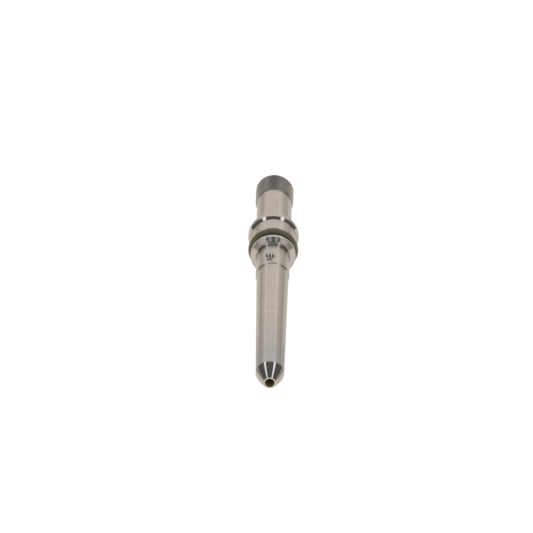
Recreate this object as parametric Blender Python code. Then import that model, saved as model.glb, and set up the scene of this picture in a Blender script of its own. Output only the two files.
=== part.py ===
"""High-pressure inlet connector of a common-rail fuel injector.

The connector is a turned steel tube. Its threaded end takes the injection line, a union nut pushes on
its collar, and its conical nose seals in the side of the injector. It carries an O-ring, a locating ball
and an edge filter.

Units are metres. The axis is Y, the threaded inlet points to +Y, the nose to -Y, and the origin is at
mid-length.
"""

from math import cos, pi, radians, sin, tan

import bmesh
import bpy
from mathutils import Matrix, Vector

MM = 0.001

# Lengths along the axis, measured from the inlet face.
TOTAL_LENGTH = 131.5 * MM
THREAD_CHAMFER = 0.6 * MM
THREAD_RUNOUT_START = 9.8 * MM
THREAD_END = 11.2 * MM
COLLAR_START = 32.75 * MM
COLLAR_RIM_END = 34.75 * MM
COLLAR_CHAMFER_END = 35.85 * MM
GROOVE_START = 42.15 * MM
GROOVE_END = 46.35 * MM
FRONT_LAND_END = 47.7 * MM
FRONT_FACE_END = 48.25 * MM
FRONT_FILLET_END = 49.25 * MM
BALL_SHANK_END = 61.75 * MM
TUBE_START = 62.55 * MM
NOSE_CONE_START = 125.45 * MM
FILTER_BORE_END = 41.0 * MM

# Radii of the outside.
THREAD_RADIUS = 7.0 * MM
THREAD_PITCH = 1.5 * MM
THREAD_DEPTH = 0.92 * MM
# Where a pitch's crest, falling flank and root end, as shares of the pitch.
CREST_END = 1 / 8
ROOT_START = 7 / 16
ROOT_END = 11 / 16
INLET_FACE_RADIUS = 6.0 * MM
SHANK_RADIUS = 6.42 * MM
COLLAR_RADIUS = 9.23 * MM
GUIDE_RADIUS = 8.5 * MM
GROOVE_FLOOR_RADIUS = 6.4 * MM
FRONT_LAND_RADIUS = 8.22 * MM
BALL_SHANK_RADIUS = 6.06 * MM
TUBE_START_RADIUS = 5.73 * MM
TUBE_END_RADIUS = 4.95 * MM
NOSE_FACE_RADIUS = 2.2 * MM
NOSE_CROWN = 0.2 * MM

# Fuel passage.
INLET_CONE_RADIUS = 5.0 * MM
INLET_CONE_HALF_ANGLE = radians(30)
FILTER_BORE_RADIUS = 2.5 * MM
FUEL_BORE_RADIUS = 1.65 * MM
DRILL_POINT_HALF_ANGLE = radians(59)

# Inserts. FIT_GAP keeps each one clear of the body's faceted walls.
FIT_GAP = 0.3 * MM
RING_SECTION_RADIUS = 1.2 * MM
RING_OUTER_RADIUS = 9.1 * MM
RING_CENTRE = 43.67 * MM
BALL_RADIUS = 1.85 * MM
BALL_CENTRE = 57.8 * MM
BALL_SINK = 0.35 * MM
BALL_ANGLE = radians(-10)
FILTER_START = 6.5 * MM
FILTER_LENGTH = 30.0 * MM
FLUTE_COUNT = 8
COLUMNS_PER_FLUTE = 4
FLUTE_DEPTH = 0.6 * MM
FLUTE_END_MARGIN = 3.0 * MM
FLUTE_END_SLOPE = 0.6 * MM
FILTER_EDGE = 0.3 * MM

# Resolution.
SEGMENTS = 48
RING_SECTION_SEGMENTS = 16
BALL_SEGMENTS = 24
FILLET_STEPS = 4
CROWN_STEPS = 4
SHARP_ANGLE = radians(30)
WELD_DISTANCE = 1e-6


def axis_point(distance, radius, angle):
    """The point at this distance from the inlet face. Angle 0 is up, and it turns towards +X."""
    return Vector((radius * sin(angle), TOTAL_LENGTH / 2 - distance, radius * cos(angle)))


def arc(centre, radius, start, end, steps):
    """Points (distance, radius) on an arc; the angle runs from the axis direction towards the outside."""
    turns = [start + (end - start) * i / steps for i in range(steps + 1)]
    return [(centre[0] + radius * cos(t), centre[1] + radius * sin(t)) for t in turns]


def add_grid(bm, rows):
    """Joins neighbouring rows of points with quads. new_object welds the points that coincide."""
    made = [[bm.verts.new(p) for p in row] for row in rows]
    for low, high in zip(made[:-1], made[1:]):
        for i in range(len(low) - 1):
            bm.faces.new((low[i], low[i + 1], high[i + 1], high[i]))


def turned_rows(profile, segments):
    """One row of points round the axis for each (distance, radius) of the profile."""
    angles = [2 * pi * i / segments for i in range(segments + 1)]
    return [[axis_point(distance, radius, a) for a in angles] for distance, radius in profile]


def thread_depth_at(phase):
    """Depth of a 60 degree thread below its crest, at a phase of 0 to 1 along one pitch."""
    if phase <= CREST_END:
        return 0.0
    if phase < ROOT_START:
        return THREAD_DEPTH * (phase - CREST_END) / (ROOT_START - CREST_END)
    if phase <= ROOT_END:
        return THREAD_DEPTH
    return THREAD_DEPTH * (1 - phase) / (1 - ROOT_END)


def thread_rows():
    """Rows along the helix of the inlet thread, clamped to its two ends, which are plain circles."""
    angles = [2 * pi * i / SEGMENTS for i in range(SEGMENTS + 1)]
    turns = int(THREAD_END / THREAD_PITCH) + 2
    return [
        [thread_point(turn + phase, phase, angle) for angle in angles]
        for turn in range(-1, turns)
        for phase in (0, CREST_END, ROOT_START, ROOT_END)
    ]


def thread_point(turns_in, phase, angle):
    """A point of the right-hand thread: chamfered at the inlet face, and running out into the shank."""
    distance = THREAD_PITCH * (turns_in - angle / (2 * pi))
    distance = min(max(distance, 0), THREAD_END)
    cut = THREAD_RADIUS - thread_depth_at(phase)
    chamfer = INLET_FACE_RADIUS + (THREAD_RADIUS - INLET_FACE_RADIUS) * distance / THREAD_CHAMFER
    left = min(1, (THREAD_END - distance) / (THREAD_END - THREAD_RUNOUT_START))
    return axis_point(distance, min(chamfer, SHANK_RADIUS + (cut - SHANK_RADIUS) * left), angle)


def body_outside():
    """Profile from the end of the thread to the nose face."""
    fillet_radius = FRONT_FILLET_END - FRONT_FACE_END
    fillet = arc(
        (FRONT_FILLET_END, BALL_SHANK_RADIUS + fillet_radius), fillet_radius, -pi, -pi / 2, FILLET_STEPS
    )
    return [
        (THREAD_END, SHANK_RADIUS),
        (COLLAR_START, SHANK_RADIUS),
        (COLLAR_START, COLLAR_RADIUS),
        (COLLAR_RIM_END, COLLAR_RADIUS),
        (COLLAR_CHAMFER_END, GUIDE_RADIUS),
        (GROOVE_START, GUIDE_RADIUS),
        (GROOVE_START, GROOVE_FLOOR_RADIUS),
        (GROOVE_END, GROOVE_FLOOR_RADIUS),
        (GROOVE_END, FRONT_LAND_RADIUS),
        (FRONT_LAND_END, FRONT_LAND_RADIUS),
        *fillet,
        (BALL_SHANK_END, BALL_SHANK_RADIUS),
        (TUBE_START, TUBE_START_RADIUS),
        *nose_cone(),
    ]


def nose_cone():
    """The sealing cone, which bulges a little so that it seals on a line."""
    points = []
    for step in range(CROWN_STEPS + 1):
        t = step / CROWN_STEPS
        distance = NOSE_CONE_START + (TOTAL_LENGTH - NOSE_CONE_START) * t
        straight = TUBE_END_RADIUS + (NOSE_FACE_RADIUS - TUBE_END_RADIUS) * t
        points.append((distance, straight + 4 * NOSE_CROWN * t * (1 - t)))
    return points


def body_inside():
    """Profile of the fuel passage, from the nose face back to the inlet face."""
    drill_point = (FILTER_BORE_RADIUS - FUEL_BORE_RADIUS) / tan(DRILL_POINT_HALF_ANGLE)
    cone_depth = (INLET_CONE_RADIUS - FILTER_BORE_RADIUS) / tan(INLET_CONE_HALF_ANGLE)
    return [
        (TOTAL_LENGTH, FUEL_BORE_RADIUS),
        (FILTER_BORE_END + drill_point, FUEL_BORE_RADIUS),
        (FILTER_BORE_END, FILTER_BORE_RADIUS),
        (cone_depth, FILTER_BORE_RADIUS),
        (0, INLET_CONE_RADIUS),
        (0, INLET_FACE_RADIUS),
    ]


def new_object(name, bm, material):
    """An object of this name from the bmesh, welded, facing out, with its round faces smooth."""
    bmesh.ops.remove_doubles(bm, verts=bm.verts, dist=WELD_DISTANCE)
    bmesh.ops.dissolve_degenerate(bm, edges=bm.edges, dist=WELD_DISTANCE)
    bmesh.ops.recalc_face_normals(bm, faces=bm.faces)
    mesh = bpy.data.meshes.new(name)
    bm.to_mesh(mesh)
    bm.free()
    mesh.shade_smooth()
    mesh.set_sharp_from_angle(angle=SHARP_ANGLE)
    mesh.materials.append(material)
    obj = bpy.data.objects.new(name, mesh)
    bpy.context.scene.collection.objects.link(obj)
    return obj


def new_material(name, colour, metallic, roughness):
    material = bpy.data.materials.new(name)
    material.use_nodes = True
    shader = material.node_tree.nodes["Principled BSDF"]
    shader.inputs["Base Color"].default_value = (*colour, 1)
    shader.inputs["Metallic"].default_value = metallic
    shader.inputs["Roughness"].default_value = roughness
    return material


def make_body(material):
    """The turned body with its thread, seal groove and fuel passage, and the blind hole for the ball."""
    bm = bmesh.new()
    add_grid(bm, thread_rows())
    add_grid(bm, turned_rows(body_outside() + body_inside(), SEGMENTS))
    body = new_object("connector_body", bm, material)
    hole = body.modifiers.new("ball_hole", "BOOLEAN")
    hole.operation = "DIFFERENCE"
    hole.solver = "EXACT"
    hole.object = make_ball_hole_cutter(material)
    return body


def ball_centre():
    """The ball's centre is a little below the surface of the shank, so less than half of it stands out."""
    return axis_point(BALL_CENTRE, BALL_SHANK_RADIUS - BALL_SINK, BALL_ANGLE)


def make_ball_hole_cutter(material):
    """A round cutter along the ball's radius, from just below the ball to outside the shank."""
    bm = bmesh.new()
    depth = 2 * (BALL_RADIUS + FIT_GAP)
    radius = BALL_RADIUS + FIT_GAP
    bmesh.ops.create_cone(
        bm, cap_ends=True, segments=BALL_SEGMENTS, radius1=radius, radius2=radius, depth=depth
    )
    bm.transform(Matrix.Translation(ball_centre()) @ Matrix.Rotation(BALL_ANGLE, 4, "Y"))
    cutter = new_object("ball_hole_cutter", bm, material)
    cutter.hide_render = True
    cutter.display_type = "WIRE"
    return cutter


def make_ring(material):
    """The O-ring at its fitted size."""
    bm = bmesh.new()
    centre = (RING_CENTRE, RING_OUTER_RADIUS - RING_SECTION_RADIUS)
    section = arc(centre, RING_SECTION_RADIUS, 0, 2 * pi, RING_SECTION_SEGMENTS)
    add_grid(bm, turned_rows(section, SEGMENTS))
    return new_object("o_ring", bm, material)


def make_ball(material):
    bm = bmesh.new()
    rings = BALL_SEGMENTS // 2
    bmesh.ops.create_uvsphere(bm, u_segments=BALL_SEGMENTS, v_segments=rings, radius=BALL_RADIUS)
    ball = new_object("locating_ball", bm, material)
    ball.location = ball_centre()
    ball.rotation_euler.y = BALL_ANGLE
    return ball


def filter_row(distance, land_radius, inlet_cut, outlet_cut):
    """A ring of the filter rod, with the inlet flutes, the outlet flutes or both cut into it."""
    columns = FLUTE_COUNT * COLUMNS_PER_FLUTE
    row = []
    for column in range(columns + 1):
        flute, place = divmod(column, COLUMNS_PER_FLUTE)
        is_cut = outlet_cut if flute % 2 else inlet_cut
        depth = FLUTE_DEPTH if is_cut and place == COLUMNS_PER_FLUTE // 2 else 0
        row.append(axis_point(distance, land_radius - depth, 2 * pi * column / columns))
    return row


def make_filter(material):
    """A rod with flutes that open at the inlet end and at the outlet end in turn."""
    radius = FILTER_BORE_RADIUS - FIT_GAP
    start = FILTER_START
    end = FILTER_START + FILTER_LENGTH
    slope_start = FLUTE_END_MARGIN
    slope_end = FLUTE_END_MARGIN + FLUTE_END_SLOPE
    rows = [
        filter_row(start, radius - FILTER_EDGE, True, False),
        filter_row(start + FILTER_EDGE, radius, True, False),
        filter_row(start + slope_start, radius, True, False),
        filter_row(start + slope_end, radius, True, True),
        filter_row(end - slope_end, radius, True, True),
        filter_row(end - slope_start, radius, False, True),
        filter_row(end - FILTER_EDGE, radius, False, True),
        filter_row(end, radius - FILTER_EDGE, False, True),
    ]
    bm = bmesh.new()
    add_grid(bm, rows)
    bmesh.ops.remove_doubles(bm, verts=bm.verts, dist=WELD_DISTANCE)
    bmesh.ops.holes_fill(bm, edges=[e for e in bm.edges if e.is_boundary])
    return new_object("edge_filter", bm, material)


def clear_scene():
    for obj in list(bpy.data.objects):
        bpy.data.objects.remove(obj)


def main():
    clear_scene()
    turned_steel = new_material("turned_steel", (0.56, 0.54, 0.51), 1.0, 0.32)
    ball_steel = new_material("ball_steel", (0.62, 0.61, 0.6), 1.0, 0.15)
    seal_rubber = new_material("seal_rubber", (0.1, 0.095, 0.045), 0.0, 0.6)
    filter_steel = new_material("filter_steel", (0.5, 0.49, 0.47), 1.0, 0.4)
    make_body(turned_steel)
    make_ring(seal_rubber)
    make_ball(ball_steel)
    make_filter(filter_steel)


main()
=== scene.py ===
"""The looks of the high-pressure inlet connector: fine turned meshes with procedural materials."""

from math import ceil, cos, hypot, pi, radians, sin, tan

import bmesh
import bpy
import numpy as np
from mathutils import Matrix, Vector


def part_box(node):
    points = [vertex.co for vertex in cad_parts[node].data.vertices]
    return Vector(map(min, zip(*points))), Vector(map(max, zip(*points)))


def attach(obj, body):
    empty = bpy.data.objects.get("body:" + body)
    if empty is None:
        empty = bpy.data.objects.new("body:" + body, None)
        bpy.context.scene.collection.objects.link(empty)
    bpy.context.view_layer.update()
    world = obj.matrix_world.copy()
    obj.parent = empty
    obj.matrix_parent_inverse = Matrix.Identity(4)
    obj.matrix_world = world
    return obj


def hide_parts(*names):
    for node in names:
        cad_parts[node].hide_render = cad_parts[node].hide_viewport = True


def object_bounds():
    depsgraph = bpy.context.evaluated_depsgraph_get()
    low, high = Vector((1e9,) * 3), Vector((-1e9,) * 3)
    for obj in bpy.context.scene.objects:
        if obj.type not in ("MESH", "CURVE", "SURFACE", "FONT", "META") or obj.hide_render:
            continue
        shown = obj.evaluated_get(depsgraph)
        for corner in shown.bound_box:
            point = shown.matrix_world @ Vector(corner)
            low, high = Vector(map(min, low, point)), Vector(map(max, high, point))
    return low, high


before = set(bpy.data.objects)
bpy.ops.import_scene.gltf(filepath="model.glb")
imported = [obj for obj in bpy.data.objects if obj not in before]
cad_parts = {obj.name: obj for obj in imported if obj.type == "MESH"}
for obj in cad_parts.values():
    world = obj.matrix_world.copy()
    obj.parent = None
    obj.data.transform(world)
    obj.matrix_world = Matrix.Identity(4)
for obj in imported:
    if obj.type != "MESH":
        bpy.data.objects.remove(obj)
CAD_LOW, CAD_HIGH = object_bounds()

MM = 0.001
INLET_Y = CAD_HIGH.y / MM
TOTAL_LENGTH = (CAD_HIGH.y - CAD_LOW.y) / MM
COLLAR_RADIUS = CAD_HIGH.x / MM

# Shapes are in millimetres. Lengths along the axis start at the inlet face.
THREAD_CHAMFER = 0.6
THREAD_RUNOUT_START = 9.8
THREAD_END = 11.2
COLLAR_START = 32.75
COLLAR_RIM_END = 34.75
COLLAR_CHAMFER_END = 35.85
GROOVE_START = 42.15
GROOVE_END = 46.35
FRONT_LAND_END = 47.7
FRONT_FACE_END = 48.25
FRONT_FACE_CORNER = 48.53     # where the front face would meet the ball shank without its fillet
FRONT_FILLET_END = 49.25
BALL_SHANK_END = 61.75
TUBE_START = 62.55
NOSE_CONE_START = 125.45
FILTER_BORE_END = 41.0
BORE_POINT_END = 42.0
BORE_MARGIN = 0.01

THREAD_RADIUS = 7.0
THREAD_PITCH = 1.5
THREAD_DEPTH = 0.92
INLET_FACE_RADIUS = 6.0
SHANK_RADIUS = 6.42
GUIDE_RADIUS = 8.5
GROOVE_FLOOR_RADIUS = 6.72
FRONT_LAND_RADIUS = 8.22
BALL_SHANK_RADIUS = 6.06
TUBE_START_RADIUS = 5.73
TUBE_END_RADIUS = 4.95
NOSE_FACE_RADIUS = 2.2
NOSE_CROWN = 0.2
INLET_CONE_RADIUS = 5.0
INLET_CONE_HALF_ANGLE = radians(30)
FILTER_BORE_RADIUS = 2.5
FUEL_BORE_RADIUS = 1.65
DRILL_POINT_HALF_ANGLE = radians(59)

RING_SECTION_RADIUS = 1.2
RING_PARTING_LINE = 0.035
RING_PARTING_WIDTH = 1 / 12    # half its width, as a share of the section's radius
BALL_ANGLE = radians(-10)
BALL_PRESS_FLAT = 0.03
BALL_HOLE_GAP = 0.02
BALL_HOLE_POINT = 0.6
BALL_HOLE_TOP = 1.5
FILTER_RADIUS = 2.47
FILTER_CHAMFER = 0.2
FILTER_CENTRE_RADIUS = 0.4
FILTER_CENTRE_DEPTH = 0.3
FLUTE_COUNT = 8
FLUTE_DEPTH = 0.75
FLUTE_END_MARGIN = 3.0
FLUTE_END_SLOPE = 1.2

SEGMENTS = 192
BALL_HOLE_SEGMENTS = 96
RING_SECTION_SEGMENTS = 64
NOSE_CONE_ROWS = 12
COLUMNS_PER_FLUTE = 24
THREAD_ROWS_PER_PITCH = 20
THREAD_CREST = 1 / 8           # share of a pitch
THREAD_SOFTNESS = 0.07         # share of a pitch
MAX_ROW_LENGTH = 3.0
SUPPORT = 0.03
WELD_DISTANCE = 0.0001
FILLET_STEP = radians(12)
HIGHLIGHT_AND_SHADE_FILLET_LIMIT = 0.5        # smaller fillets are edge breaks, which get a painted highlight, or corners, which get painted shade
SHARP_ANGLE = radians(40)


def axis_point(distance, radius, angle):
    """The point in metres at this distance from the inlet face. Angle 0 is up, and turns towards +X."""
    return Vector((radius * sin(angle), INLET_Y - distance, radius * cos(angle))) * MM


# Meshes

def rounded_outline(corners):
    """Points (distance, radius, edge_highlight_and_shade) of an outline through the corners (distance,
    radius, fillet).

    Fillets become arcs. Small ones have 1 where the edge sticks out, for a painted highlight, and -1 in
    a hollow, for painted shade. A point just beside each arc keeps the straight stretches flat and
    without painted highlight or shade.
    """
    points = [(*corners[0][:2], 0)]
    for before, corner, after in zip(corners[:-2], corners[1:-1], corners[2:]):
        at = np.array(corner[:2])
        back = np.array(before[:2]) - at
        ahead = np.array(after[:2]) - at
        back /= np.linalg.norm(back)
        ahead /= np.linalg.norm(ahead)
        if corner[2] == 0:
            points += [(*(at + SUPPORT * back), 0), (*at, 0), (*(at + SUPPORT * ahead), 0)]
            continue
        # painted light: 1 gives an edge that sticks out a painted highlight, -1 gives a hollow painted
        # shade
        edge_highlight_and_shade = 1 if back[0] * ahead[1] - back[1] * ahead[0] > 0 else -1
        edge_highlight_and_shade = edge_highlight_and_shade if corner[2] < HIGHLIGHT_AND_SHADE_FILLET_LIMIT else 0
        half = np.arccos(np.clip(back @ ahead, -1, 1)) / 2
        reach = corner[2] / tan(half)
        centre = at + (back + ahead) / np.linalg.norm(back + ahead) * corner[2] / sin(half)
        start = at + back * reach
        end = at + ahead * reach
        points.append((*(start + SUPPORT * back), 0))
        steps = max(2, int((pi - 2 * half) / FILLET_STEP))
        for i in range(steps + 1):
            chord = start + (end - start) * i / steps - centre
            points.append((*(centre + chord / np.linalg.norm(chord) * corner[2]), edge_highlight_and_shade))
        points.append((*(end + SUPPORT * ahead), 0))
    points.append((*corners[-1][:2], 0))
    return points


def split_long(points):
    """The outline with extra points, so that no row is longer than MAX_ROW_LENGTH."""
    out = [points[0]]
    for a, b in zip(points[:-1], points[1:]):
        steps = max(1, ceil(hypot(b[0] - a[0], b[1] - a[1]) / MAX_ROW_LENGTH))
        for i in range(1, steps + 1):
            out.append(tuple(a[k] + (b[k] - a[k]) * i / steps for k in range(3)))
    return out


def turned_rows(outline):
    """Rows of (point, edge_highlight_and_shade) round the axis, one for each outline point (distance,
    radius, edge_highlight_and_shade).
    """
    angles = [2 * pi * i / SEGMENTS for i in range(SEGMENTS + 1)]
    return [
        [(axis_point(distance, radius, angle), edge_highlight_and_shade) for angle in angles]
        for distance, radius, edge_highlight_and_shade in outline
    ]


def add_grid(bm, rows, material_of=None):
    """Joins neighbouring rows of (point, edge_highlight_and_shade) with quads, keeping that value for
    the painted highlight and shade. finished() welds coinciding points.
    """
    layer = bm.verts.layers.float.get("edge_highlight_and_shade") or bm.verts.layers.float.new("edge_highlight_and_shade")
    made = []
    for row in rows:
        made.append([bm.verts.new(point) for point, edge_highlight_and_shade in row])
        for vertex, (point, edge_highlight_and_shade) in zip(made[-1], row):
            vertex[layer] = edge_highlight_and_shade
    for low, high in zip(made[:-1], made[1:]):
        for i in range(len(low) - 1):
            face = bm.faces.new((low[i], low[i + 1], high[i + 1], high[i]))
            if material_of:
                face.material_index = material_of(face.calc_center_median())


def finished(name, bm, materials):
    """A smooth-shaded object from the bmesh, welded and with its faces pointing out."""
    bmesh.ops.remove_doubles(bm, verts=bm.verts, dist=WELD_DISTANCE * MM)
    bmesh.ops.dissolve_degenerate(bm, edges=bm.edges, dist=WELD_DISTANCE * MM)
    bmesh.ops.recalc_face_normals(bm, faces=bm.faces)
    mesh = bpy.data.meshes.new(name)
    bm.to_mesh(mesh)
    bm.free()
    for material in materials:
        mesh.materials.append(material)
    mesh.shade_smooth()
    mesh.set_sharp_from_angle(angle=SHARP_ANGLE)
    obj = bpy.data.objects.new(name, mesh)
    bpy.context.scene.collection.objects.link(obj)
    return obj


def thread_cut(phase):
    """Depth below the crest of a 60 degree thread at this share of its pitch.

    Averaging over a few shifts gives it the soft corners of a rolled thread.
    """
    flank = THREAD_DEPTH * tan(radians(30)) / THREAD_PITCH
    shifts = (-1, -0.5, 0, 0.5, 1)
    total = 0
    for shift in shifts:
        place = (phase + THREAD_SOFTNESS * shift) % 1
        rise = min(place - THREAD_CREST, 1 - place) / flank
        total += THREAD_DEPTH * min(max(rise, 0), 1)
    return total / len(shifts)


def thread_rows():
    """Rows along the right-hand helix, chamfered at the inlet face and fading into the shank."""
    cuts = [thread_cut(i / THREAD_ROWS_PER_PITCH) for i in range(THREAD_ROWS_PER_PITCH)]
    turns = int(THREAD_END / THREAD_PITCH) + 2
    chamfer_slope = (THREAD_RADIUS - INLET_FACE_RADIUS) / THREAD_CHAMFER
    rows = []
    for step in range(-THREAD_ROWS_PER_PITCH, turns * THREAD_ROWS_PER_PITCH):
        row = []
        for i in range(SEGMENTS + 1):
            distance = THREAD_PITCH * (step / THREAD_ROWS_PER_PITCH - i / SEGMENTS)
            distance = min(max(distance, 0), THREAD_END)
            chamfer = INLET_FACE_RADIUS + chamfer_slope * distance
            left = min(1, (THREAD_END - distance) / (THREAD_END - THREAD_RUNOUT_START))
            cut = cuts[step % THREAD_ROWS_PER_PITCH]
            radius = min(chamfer, SHANK_RADIUS + (THREAD_RADIUS - cut - SHANK_RADIUS) * left)
            # painted highlight on the thread's crests and painted shade in its roots, fading out over
            # the runout
            edge_highlight_and_shade = (1 - 2 * cut / THREAD_DEPTH) * left if radius < chamfer else 0
            row.append((axis_point(distance, radius, 2 * pi * i / SEGMENTS), edge_highlight_and_shade))
        rows.append(row)
    return rows


def nose_cone():
    """The crowned sealing cone, from the tube to the nose face."""
    points = []
    for step in range(NOSE_CONE_ROWS + 1):
        t = step / NOSE_CONE_ROWS
        distance = NOSE_CONE_START + (TOTAL_LENGTH - NOSE_CONE_START) * t
        straight = TUBE_END_RADIUS + (NOSE_FACE_RADIUS - TUBE_END_RADIUS) * t
        points.append((distance, straight + 4 * NOSE_CROWN * t * (1 - t), 0))
    return points


def body_outline():
    """Outline of the body from the thread's end, over the nose and back through the bore to the inlet.

    Its corners are (distance, radius, fillet).
    """
    cone_depth = (INLET_CONE_RADIUS - FILTER_BORE_RADIUS) / tan(INLET_CONE_HALF_ANGLE)
    drill_point = (FILTER_BORE_RADIUS - FUEL_BORE_RADIUS) / tan(DRILL_POINT_HALF_ANGLE)
    cone = nose_cone()
    outside = [
        (THREAD_END, SHANK_RADIUS, 0),
        (COLLAR_START, SHANK_RADIUS, 0.3),
        (COLLAR_START, COLLAR_RADIUS, 0.25),
        (COLLAR_RIM_END, COLLAR_RADIUS, 0.12),
        (COLLAR_CHAMFER_END, GUIDE_RADIUS, 0.3),
        (GROOVE_START, GUIDE_RADIUS, 0.1),
        (GROOVE_START, GROOVE_FLOOR_RADIUS, 0.2),
        (GROOVE_END, GROOVE_FLOOR_RADIUS, 0.2),
        (GROOVE_END, FRONT_LAND_RADIUS, 0.1),
        (FRONT_LAND_END, FRONT_LAND_RADIUS, 0.12),
        (FRONT_FACE_CORNER, BALL_SHANK_RADIUS, FRONT_FILLET_END - FRONT_FACE_END),
        (BALL_SHANK_END, BALL_SHANK_RADIUS, 1.5),
        (TUBE_START, TUBE_START_RADIUS, 1.5),
        (cone[0][0], cone[0][1], 0.25),
    ]
    inside = [
        (TOTAL_LENGTH, NOSE_FACE_RADIUS, 0.12),
        (TOTAL_LENGTH, FUEL_BORE_RADIUS, 0.08),
        (FILTER_BORE_END + drill_point, FUEL_BORE_RADIUS, 0.1),
        (FILTER_BORE_END, FILTER_BORE_RADIUS, 0),
        (cone_depth, FILTER_BORE_RADIUS, 0.1),
        (0, INLET_CONE_RADIUS, 0.1),
        (0, INLET_FACE_RADIUS, 0),
    ]
    # each half is rounded with its neighbour on the cone, which then comes once, from the cone
    start = rounded_outline(outside + [cone[1]])[:-1]
    end = rounded_outline([cone[-2]] + inside)[1:]
    return split_long(start + cone[1:-1] + end)


def ball_centre():
    low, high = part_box("locating_ball")
    return (low + high) / 2


def ball_radius():
    low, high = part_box("locating_ball")
    return (high.y - low.y) / 2 / MM


def cut_ball_hole(body):
    """Cuts the blind hole that the ball is pressed into, with its drill point."""
    radius = ball_radius() + BALL_HOLE_GAP
    outline = [
        (0, -radius - BALL_HOLE_POINT),
        (radius, -radius),
        (radius, BALL_HOLE_TOP),
        (0, BALL_HOLE_TOP),
    ]
    angles = [2 * pi * i / BALL_HOLE_SEGMENTS for i in range(BALL_HOLE_SEGMENTS + 1)]
    rows = [
        [(Vector((reach * cos(angle), reach * sin(angle), height)) * MM, 0) for angle in angles]
        for reach, height in outline
    ]
    bm = bmesh.new()
    add_grid(bm, rows)
    bm.transform(Matrix.Translation(ball_centre()) @ Matrix.Rotation(BALL_ANGLE, 4, "Y"))
    cutter = finished("ball_hole_cutter", bm, [])
    hole = body.modifiers.new("ball_hole", "BOOLEAN")
    hole.operation = "DIFFERENCE"
    hole.solver = "EXACT"
    hole.object = cutter
    bpy.context.view_layer.update()
    graph = bpy.context.evaluated_depsgraph_get()
    mesh = bpy.data.meshes.new_from_object(body.evaluated_get(graph), depsgraph=graph)
    body.modifiers.clear()
    body.data = mesh
    mesh.set_sharp_from_angle(angle=SHARP_ANGLE)
    bpy.data.objects.remove(cutter)


def finish_of(point):
    """Index in the body's materials of the finish at this point, a face's centre."""
    ground, turned, thread, bore, formed = range(5)
    distance = INLET_Y - point.y / MM
    radius = hypot(point.x, point.z) / MM
    if radius < FUEL_BORE_RADIUS + BORE_MARGIN:
        return bore
    if distance < BORE_POINT_END and radius < INLET_FACE_RADIUS:
        return bore if radius < FILTER_BORE_RADIUS + BORE_MARGIN else turned
    # where each stretch ends, with its fillets, and its finish
    stretches = (
        (THREAD_END, thread),
        (COLLAR_START - 0.05, ground),
        (COLLAR_START + 0.3, turned),
        (COLLAR_RIM_END, ground),
        (COLLAR_CHAMFER_END + 0.2, turned),
        (GROOVE_START, ground),
        (FRONT_FACE_END + 0.1, turned),
        (FRONT_FILLET_END + 0.1, formed),
        (BALL_SHANK_END - 0.2, ground),
        (TUBE_START + 0.2, formed),
        (NOSE_CONE_START - 0.1, ground),
    )
    return next((finish for end, finish in stretches if distance < end), turned)


def make_body(materials):
    """The turned body. materials are ground, turned, thread, bore and form-turned steel."""
    bm = bmesh.new()
    add_grid(bm, thread_rows(), finish_of)
    add_grid(bm, turned_rows(body_outline()), finish_of)
    body = finished("body", bm, materials)
    cut_ball_hole(body)
    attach(body, "root")
    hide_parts("connector_body")


def make_ring(material):
    """The O-ring, with the fine line round its inner and outer edge where its mould parts."""
    low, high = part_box("o_ring")
    centre = INLET_Y - (low.y + high.y) / 2 / MM
    middle_radius = high.x / MM - RING_SECTION_RADIUS
    outline = []
    for i in range(RING_SECTION_SEGMENTS + 1):
        turn = 2 * pi * i / RING_SECTION_SEGMENTS + pi / 2
        flash = RING_PARTING_LINE * max(0, 1 - abs(cos(turn)) / RING_PARTING_WIDTH)
        reach = RING_SECTION_RADIUS - RING_PARTING_LINE + flash
        outline.append((centre + reach * cos(turn), middle_radius + reach * sin(turn), 0))
    bm = bmesh.new()
    add_grid(bm, turned_rows(outline))
    ring = finished("seal_ring", bm, [material])
    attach(ring, "root")
    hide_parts("o_ring")


def make_ball(material):
    """The pressed-in ball, with the small flat that the press leaves on top."""
    bm = bmesh.new()
    bmesh.ops.create_icosphere(bm, subdivisions=5, radius=ball_radius() * MM)
    top = (ball_radius() - BALL_PRESS_FLAT) * MM
    for vertex in bm.verts:
        vertex.co.z = min(vertex.co.z, top)
    bm.transform(Matrix.Translation(ball_centre()) @ Matrix.Rotation(BALL_ANGLE, 4, "Y"))
    ball = finished("ball", bm, [material])
    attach(ball, "root")
    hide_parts("locating_ball")


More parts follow.
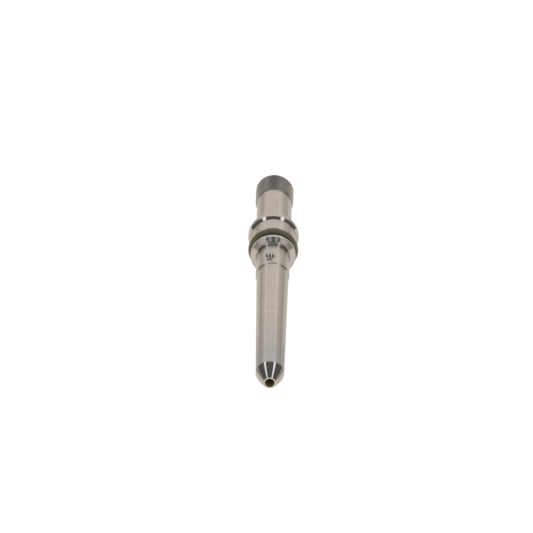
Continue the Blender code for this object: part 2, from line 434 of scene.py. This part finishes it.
def make_filter(material):
    """The edge filter rod, with round flutes that open at its inlet end and its outlet end in turn."""
    low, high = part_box("edge_filter")
    start = INLET_Y - high.y / MM
    length = (high.y - low.y) / MM
    columns = FLUTE_COUNT * COLUMNS_PER_FLUTE
    slope_rows = 12
    slope = [FLUTE_END_MARGIN + FLUTE_END_SLOPE * i / slope_rows for i in range(slope_rows + 1)]
    # where the rows of the rod's first half lie, and then those of its second half
    stations = [0, 0.4 * FILTER_CHAMFER, FILTER_CHAMFER, 1.5, 2.8, *slope, 9.0]
    stations += [length - station for station in reversed(stations)]
    rows = []
    for along in stations:
        row = []
        for column in range(columns + 1):
            flute = column * FLUTE_COUNT / columns
            groove = max(0, cos(2 * pi * (flute % 1 - 0.5)))
            closed_from = along if int(flute) % 2 else length - along
            opening = min(1, max(0, (closed_from - FLUTE_END_MARGIN) / FLUTE_END_SLOPE))
            edge = max(0, FILTER_CHAMFER - min(along, length - along))
            depth = groove * sin(opening * pi / 2)
            reach = FILTER_RADIUS - edge - FLUTE_DEPTH * depth
            # painted highlight on the rod's outside and painted shade down in the flutes
            row.append((axis_point(start + along, reach, 2 * pi * column / columns), 1 - 2 * depth))
        rows.append(row)
    angles = [2 * pi * column / columns for column in range(columns + 1)]
    for end, bottom in ((0, FILTER_CENTRE_DEPTH), (length, length - FILTER_CENTRE_DEPTH)):
        rim = [(axis_point(start + end, FILTER_CENTRE_RADIUS, angle), 0) for angle in angles]
        # painted shade in the centre holes
        centre_hole = [(axis_point(start + bottom, 0, 0), -1)] * (columns + 1)
        rows = [centre_hole, rim] + rows if end == 0 else rows + [rim, centre_hole]
    bm = bmesh.new()
    add_grid(bm, rows)
    rod = finished("filter_rod", bm, [material])
    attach(rod, "root")
    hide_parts("edge_filter")


# Materials

MIX_FACTOR, MIX_A, MIX_B, MIX_RESULT = 0, 6, 7, 2      # the colour sockets of a Mix node


class Nodes:
    """Short calls for building a material's node tree."""

    def __init__(self, name):
        self.material = bpy.data.materials.new(name)
        self.material.use_nodes = True
        self.tree = self.material.node_tree
        self.shader = self.tree.nodes["Principled BSDF"]

    def add(self, kind, inputs=None, **settings):
        node = self.tree.nodes.new(kind)
        for key, value in settings.items():
            setattr(node, key, value)
        for key, value in (inputs or {}).items():
            if isinstance(value, bpy.types.NodeSocket):
                self.tree.links.new(value, node.inputs[key])
            else:
                node.inputs[key].default_value = value
        return node

    def noise(self, scale, detail=3.0, roughness=0.55, turn=(0, 0, 0)):
        """Noise over the object's own millimetres; scale is cycles per millimetre along X, Y and Z."""
        place = self.add("ShaderNodeTexCoord").outputs["Object"]
        rotated = self.add(
            "ShaderNodeVectorRotate",
            {"Vector": place, "Rotation": turn},
            rotation_type="EULER_XYZ",
        ).outputs["Vector"]
        scaled = self.add(
            "ShaderNodeMapping",
            {"Vector": rotated, "Scale": [cycles / MM for cycles in scale]},
        ).outputs["Vector"]
        texture = self.add(
            "ShaderNodeTexNoise",
            {"Vector": scaled, "Scale": 1.0, "Detail": detail, "Roughness": roughness},
        )
        return texture.outputs["Fac"]

    def range(self, value, low, high, to_low, to_high):
        node = self.add(
            "ShaderNodeMapRange",
            {"Value": value, "From Min": low, "From Max": high, "To Min": to_low, "To Max": to_high},
        )
        return node.outputs["Result"]

    def mix(self, factor, a, b, how="MIX"):
        node = self.add("ShaderNodeMix", data_type="RGBA", blend_type=how)
        for index, value in ((MIX_FACTOR, factor), (MIX_A, a), (MIX_B, b)):
            if isinstance(value, bpy.types.NodeSocket):
                self.tree.links.new(value, node.inputs[index])
            else:
                node.inputs[index].default_value = value
        return node.outputs[MIX_RESULT]

    def math(self, operation, a, b):
        return self.add("ShaderNodeMath", {0: a, 1: b}, operation=operation).outputs[0]

    def along(self):
        """The place along the connector's axis, in metres."""
        place = self.add("ShaderNodeTexCoord").outputs["Object"]
        return self.add("ShaderNodeSeparateXYZ", {"Vector": place}).outputs["Y"]

    def edge_highlight_and_shade(self):
        """1 where edges get a painted highlight, -1 where corners get painted shade."""
        return self.add("ShaderNodeAttribute", attribute_name="edge_highlight_and_shade").outputs["Fac"]

    def link(self, output, name):
        self.tree.links.new(output, self.shader.inputs[name])

    def bump(self, height, depth):
        """A bump of this depth in millimetres."""
        node = self.add("ShaderNodeBump", {"Height": height, "Strength": 1.0, "Distance": depth * MM})
        self.link(node.outputs["Normal"], "Normal")


STEEL = (0.506, 0.446, 0.393)
TURNED_STEEL = (0.5, 0.45, 0.407)
THREAD_STEEL = (0.41, 0.37, 0.33)
BORE_STEEL = (0.4, 0.34, 0.15)
BALL_STEEL = (0.48, 0.44, 0.39)
# painted reflection: the bluish, darker tint the steel takes on towards the nose
NOSE_REFLECTION_TINT = (0.83, 0.88, 0.95)
RUBBER = (0.14, 0.124, 0.056, 1)
BLOOMED_RUBBER = (0.19, 0.175, 0.096, 1)
EDGE_TINT = (0.8, 0.77, 0.72, 1)
# Stretch over which the painted reflection, a bluish, darker tint of the steel, comes in towards the
# nose, in millimetres from mid-length.
NOSE_REFLECTION_START = -29.0
NOSE_REFLECTION_END = -57.0


def steel_colour(n, colour, nose_reflection_tint, marks, stain, scratch):
    """Lighter and darker rings, warm stains, bright scratches, a painted highlight on edges, painted
    shade in corners, and a painted bluish, darker reflection towards the nose.
    """
    light = (*[min(1, c * 1.06) for c in colour], 1)
    dark = (*[c * 0.92 for c in colour], 1)
    stained = (colour[0] * 0.94, colour[1] * 0.91, colour[2] * 0.87, 1)
    by_marks = n.mix(n.range(marks, 0.35, 0.65, 0, 1), dark, light)
    plain = n.mix(n.range(stain, 0.52, 0.72, 0, 0.6), by_marks, stained)
    # painted reflection: bluish, darker steel towards the nose
    nose_reflection_share = n.range(n.along(), NOSE_REFLECTION_START * MM, NOSE_REFLECTION_END * MM, 0, 1)
    tinted = n.mix(nose_reflection_share, plain, n.mix(1.0, plain, (*nose_reflection_tint, 1), "MULTIPLY"))
    edge_highlight_and_shade = n.edge_highlight_and_shade()
    # painted shade in corners, down to 0.62, and painted highlight on edges, up to 1.12
    shade = n.math("MULTIPLY", n.range(edge_highlight_and_shade, -1, 0, 0.62, 1), n.range(edge_highlight_and_shade, 0, 1, 1, 1.12))
    shade = n.math("ADD", shade, n.math("MULTIPLY", scratch, 0.08))
    return n.add("ShaderNodeVectorMath", {0: tinted, "Scale": shade}, operation="SCALE").outputs[0]


def steel_roughness(n, roughness, spread, marks, stain, scratch):
    """Rougher in stains, scratches and the corners with painted shade, smoother on the edges with the
    painted highlight.
    """
    by_marks = n.range(marks, 0.3, 0.7, -spread, spread)
    by_stain = n.range(stain, 0.5, 0.75, 0, spread)
    by_highlight_and_shade = n.range(n.edge_highlight_and_shade(), -1, 1, roughness + 0.08, roughness - 0.08)
    total = n.math("ADD", n.math("ADD", by_marks, by_stain), by_highlight_and_shade)
    return n.math("ADD", total, n.math("MULTIPLY", scratch, 0.06))


def steel(
    name, colour, roughness, spread, rings, ring_depth, anisotropy, nose_reflection_tint=(1, 1, 1), metallic=1.0
):
    """Turned or ground steel, with this many fine rings per millimetre round the axis.

    The blur of its reflections runs along the axis. nose_reflection_tint is a painted reflection: the
    bluish, darker colour it takes on towards the nose.
    """
    n = Nodes(name)
    fine = n.noise((0.004, rings, 0.004), detail=5.0)
    coarse = n.noise((0.01, rings * 0.22, 0.01), detail=2.0)
    marks = n.math("ADD", n.math("MULTIPLY", fine, 0.6), n.math("MULTIPLY", coarse, 0.4))
    stain = n.noise((0.22, 0.09, 0.22), detail=5.0, roughness=0.6)
    scratch = n.range(n.noise((0.5, 3.1, 0.5), detail=1.0, turn=(0.5, 0.2, 0.9)), 0.69, 0.72, 0, 1)
    n.link(steel_colour(n, colour, nose_reflection_tint, marks, stain, scratch), "Base Color")
    n.link(steel_roughness(n, roughness, spread, marks, stain, scratch), "Roughness")
    n.bump(marks, ring_depth)
    n.shader.inputs["Metallic"].default_value = metallic
    n.shader.inputs["Specular Tint"].default_value = EDGE_TINT
    n.shader.inputs["Anisotropic"].default_value = anisotropy
    n.shader.inputs["Anisotropic Rotation"].default_value = 0.25
    n.link(n.add("ShaderNodeTangent", direction_type="RADIAL", axis="Y").outputs["Tangent"], "Tangent")
    return n.material


def polished_steel(name, colour):
    """The ball: bright, with hairline scratches in no direction."""
    n = Nodes(name)
    haze = n.noise((1.2, 1.2, 1.2), detail=6.0)
    scratches = n.noise((9.0, 1.4, 5.0), detail=2.0)
    dark = (*[c * 0.9 for c in colour], 1)
    n.link(n.mix(n.range(haze, 0.4, 0.7, 0, 1), (*colour, 1), dark), "Base Color")
    n.link(n.range(haze, 0.3, 0.7, 0.03, 0.09), "Roughness")
    n.bump(scratches, 0.0006)
    n.shader.inputs["Metallic"].default_value = 1.0
    return n.material


def seal_rubber(name):
    """Olive-green rubber with a faint bloom and fine grain."""
    n = Nodes(name)
    bloom = n.noise((0.5, 0.9, 0.5), detail=5.0)
    grain = n.noise((9.0, 9.0, 9.0), detail=3.0)
    n.link(n.mix(n.range(bloom, 0.35, 0.7, 0, 1), RUBBER, BLOOMED_RUBBER), "Base Color")
    n.link(n.range(grain, 0.3, 0.7, 0.34, 0.5), "Roughness")
    n.bump(grain, 0.004)
    n.shader.inputs["Specular IOR Level"].default_value = 0.6
    return n.material


# Studio

TABLE_SIZE = 8.0               # metres
TABLE_ALBEDO = 0.06
# Where the light that the steel reflects of the table falls off, in millimetres from mid-length.
TABLE_FADE_START = -60.0
TABLE_FADE_END = -400.0
TABLE_FAR_RADIANCE = 0.62
# Grey cards on the table, in millimetres from the collar towards the nose, and to either side.
FLAG_START = 45.0
FLAG_END = 230.0
FLAG_INNER = 20.0
FLAG_OUTER = 110.0
FLAG_HEIGHT = 0.5
FLAG_RADIANCE = 0.42
ROOM_COLOUR = (0.13, 0.15, 0.145)
BACKDROP_COLOUR = (1.02, 1.02, 1.02)
LAMP_COLOUR = (0.93, 1.0, 1.08)
# Strip lights, in metres.
STRIP_LEANS = (radians(-34), radians(31.6))
STRIP_HEIGHT = 1.2
STRIP_WIDTH = 0.3
STRIP_START = -1.0
STRIP_END = 1.3
STRIP_RADIANCE = 1.75
PANEL_DISTANCE = 1.5
PANELS = (
    # left and right azimuth, low and high elevation, radiance
    (-45, 45, -1, 7, 0.82),
    (-30, 30, 52, 66, 1.2),
    (-45, -29, 7, 52, 0.88),
    (-29, -24, 7, 52, 1.14),
    (-24, -21, 7, 52, 1.0),
    (-21, -16, 7, 52, 0.9),
    (-16, -10, 7, 52, 1.08),
    (-10, 3, 7, 52, 1.0),
    (3, 7, 7, 52, 1.08),
    (7, 18, 7, 52, 1.0),
    (18, 23, 7, 52, 1.22),
    (23, 45, 7, 52, 0.85),
    (112, 145, 0, 35, 0.55),
    (145, 165.5, 0, 32, 0.8),
    (194.5, 215, 0, 32, 0.8),
    (215, 248, 0, 35, 0.55),
)
LAMPS = (
    (171.5, 175.5, 4, 26, 0.78),
    (184.5, 188.5, 4, 26, 0.78),
)
VIEW_ELEVATION = radians(31.47)
VIEW_AZIMUTH = radians(0.88)
VIEW_DISTANCE = 1300.0
VIEW_LENS = 243.1
SENSOR_WIDTH = 36.0
CLIP_RANGE = (0.05, 50)        # metres
VIEW_TARGET = Vector((-2.27, 10.75, 0.0)) * MM


def emission_nodes(name, colour, strength, albedo=0.0):
    """A matt glowing material, with no reflections and this grey albedo."""
    n = Nodes(name)
    n.shader.inputs["Base Color"].default_value = (albedo, albedo, albedo, 1)
    n.shader.inputs["Roughness"].default_value = 1.0
    n.shader.inputs["Specular IOR Level"].default_value = 0.0
    n.shader.inputs["Emission Color"].default_value = (*colour, 1)
    n.shader.inputs["Emission Strength"].default_value = strength
    return n


def rectangle(name, centre, along, across, size, material):
    """A flat card of this size in metres, spanned by two directions."""
    along = Vector(along).normalized() * size[0] / 2
    across = Vector(across).normalized() * size[1] / 2
    mesh = bpy.data.meshes.new(name)
    corners = [Vector(centre) + a * along + b * across for a, b in ((-1, -1), (1, -1), (1, 1), (-1, 1))]
    mesh.from_pydata(corners, [], [(0, 1, 2, 3)])
    mesh.materials.append(material)
    obj = bpy.data.objects.new(name, mesh)
    bpy.context.scene.collection.objects.link(obj)
    return obj


def fade_reflections(nodes):
    """Lets what the steel reflects of the table fall off in front of the nose, where its light ends."""
    fade = nodes.range(nodes.along(), TABLE_FADE_END * MM, TABLE_FADE_START * MM, TABLE_FAR_RADIANCE, 1)
    seen = nodes.add("ShaderNodeLightPath").outputs["Is Camera Ray"]
    nodes.link(nodes.math("MAXIMUM", fade, seen), "Emission Strength")


def make_table():
    """The table, which the connector touches with its collar and tube, and two grey flags on it."""
    rim = Vector((0, INLET_Y - COLLAR_RIM_END, -COLLAR_RADIUS)) * MM
    tube = Vector((0, INLET_Y - NOSE_CONE_START, -TUBE_END_RADIUS)) * MM
    along = (rim - tube).normalized()
    white = emission_nodes("table_white", (1, 1, 1), 1.0, TABLE_ALBEDO)
    fade_reflections(white)
    rectangle("table", rim, along, (1, 0, 0), (TABLE_SIZE, TABLE_SIZE), white.material)
    grey = emission_nodes("flag_grey", (1, 1, 1), FLAG_RADIANCE).material
    size = ((FLAG_END - FLAG_START) * MM, (FLAG_OUTER - FLAG_INNER) * MM)
    for side in (-1, 1):
        sideways = Vector((side * (FLAG_INNER + FLAG_OUTER) / 2, 0, FLAG_HEIGHT)) * MM
        centre = rim - along * (FLAG_START + FLAG_END) / 2 * MM + sideways
        flag = rectangle("flag", centre, along, (1, 0, 0), size, grey)
        flag.visible_camera = False


def make_world():
    """A dark room for the reflections, with a plain pale backdrop beyond the table for the camera."""
    world = bpy.data.worlds.new("studio")
    world.use_nodes = True
    bpy.context.scene.world = world
    tree = world.node_tree
    background = tree.nodes["Background"]
    path = tree.nodes.new("ShaderNodeLightPath")
    mix = tree.nodes.new("ShaderNodeMix")
    mix.data_type = "RGBA"
    mix.inputs[MIX_A].default_value = (*ROOM_COLOUR, 1)
    mix.inputs[MIX_B].default_value = (*BACKDROP_COLOUR, 1)
    tree.links.new(path.outputs["Is Camera Ray"], mix.inputs[MIX_FACTOR])
    tree.links.new(mix.outputs[MIX_RESULT], background.inputs["Color"])


def panel(name, colour, left, right, low, high, strength):
    """An upright glowing card at PANEL_DISTANCE, between these azimuths and elevations in degrees.

    Azimuth turns from +Y towards +X.
    """
    left, right, low, high = (radians(angle) for angle in (left, right, low, high))
    middle = (left + right) / 2
    width = 2 * PANEL_DISTANCE * tan((right - left) / 2)
    centre = Vector((sin(middle), cos(middle), (tan(low) + tan(high)) / 2)) * PANEL_DISTANCE
    size = (width, (tan(high) - tan(low)) * PANEL_DISTANCE)
    material = emission_nodes(name, colour, strength).material
    obj = rectangle(name, centre, (cos(middle), -sin(middle), 0), (0, 0, 1), size, material)
    obj.visible_camera = False


def make_lights():
    """Two strip lights above the connector, the white wall behind it, and the cards by the camera."""
    for lean in STRIP_LEANS:
        centre = Vector((STRIP_HEIGHT * tan(lean), (STRIP_END + STRIP_START) / 2, STRIP_HEIGHT))
        across = Vector((cos(lean), 0, -sin(lean)))
        size = (STRIP_END - STRIP_START, STRIP_WIDTH)
        material = emission_nodes("strip_light", LAMP_COLOUR, STRIP_RADIANCE).material
        strip = rectangle("strip_light", centre, (0, 1, 0), across, size, material)
        strip.visible_camera = False
    for sides in PANELS:
        panel("light_card", (1, 1, 1), *sides)
    for sides in LAMPS:
        panel("lamp", LAMP_COLOUR, *sides)


def make_camera():
    camera = bpy.data.objects.new("camera", bpy.data.cameras.new("camera"))
    bpy.context.scene.collection.objects.link(camera)
    bpy.context.scene.camera = camera
    back = Vector((
        sin(VIEW_AZIMUTH) * cos(VIEW_ELEVATION),
        -cos(VIEW_AZIMUTH) * cos(VIEW_ELEVATION),
        sin(VIEW_ELEVATION),
    ))
    camera.data.lens = VIEW_LENS
    camera.data.sensor_width = SENSOR_WIDTH
    camera.data.clip_start, camera.data.clip_end = CLIP_RANGE
    camera.location = VIEW_TARGET + back * VIEW_DISTANCE * MM
    camera.rotation_mode = "QUATERNION"
    camera.rotation_quaternion = (-back).to_track_quat("-Z", "Y")


bpy.context.scene.view_settings.view_transform = "Standard"
make_body([
    steel("ground_steel", STEEL, 0.21, 0.02, 1.1, 0.0006, 0.85, NOSE_REFLECTION_TINT),
    steel("turned_steel", TURNED_STEEL, 0.12, 0.02, 1.8, 0.0003, 0.4),
    steel("thread_steel", THREAD_STEEL, 0.5, 0.04, 1.6, 0.0010, 0.2),
    steel("bore_steel", BORE_STEEL, 0.5, 0.05, 1.2, 0.0020, 0.0, metallic=0.4),
    steel("formed_steel", TURNED_STEEL, 0.34, 0.02, 1.8, 0.0003, 0.1),
])
make_ring(seal_rubber("olive_rubber"))
make_ball(polished_steel("ball_polish", BALL_STEEL))
make_filter(steel("filter_steel", STEEL, 0.3, 0.04, 3.0, 0.001, 0.3))
make_table()
make_world()
make_lights()
make_camera()
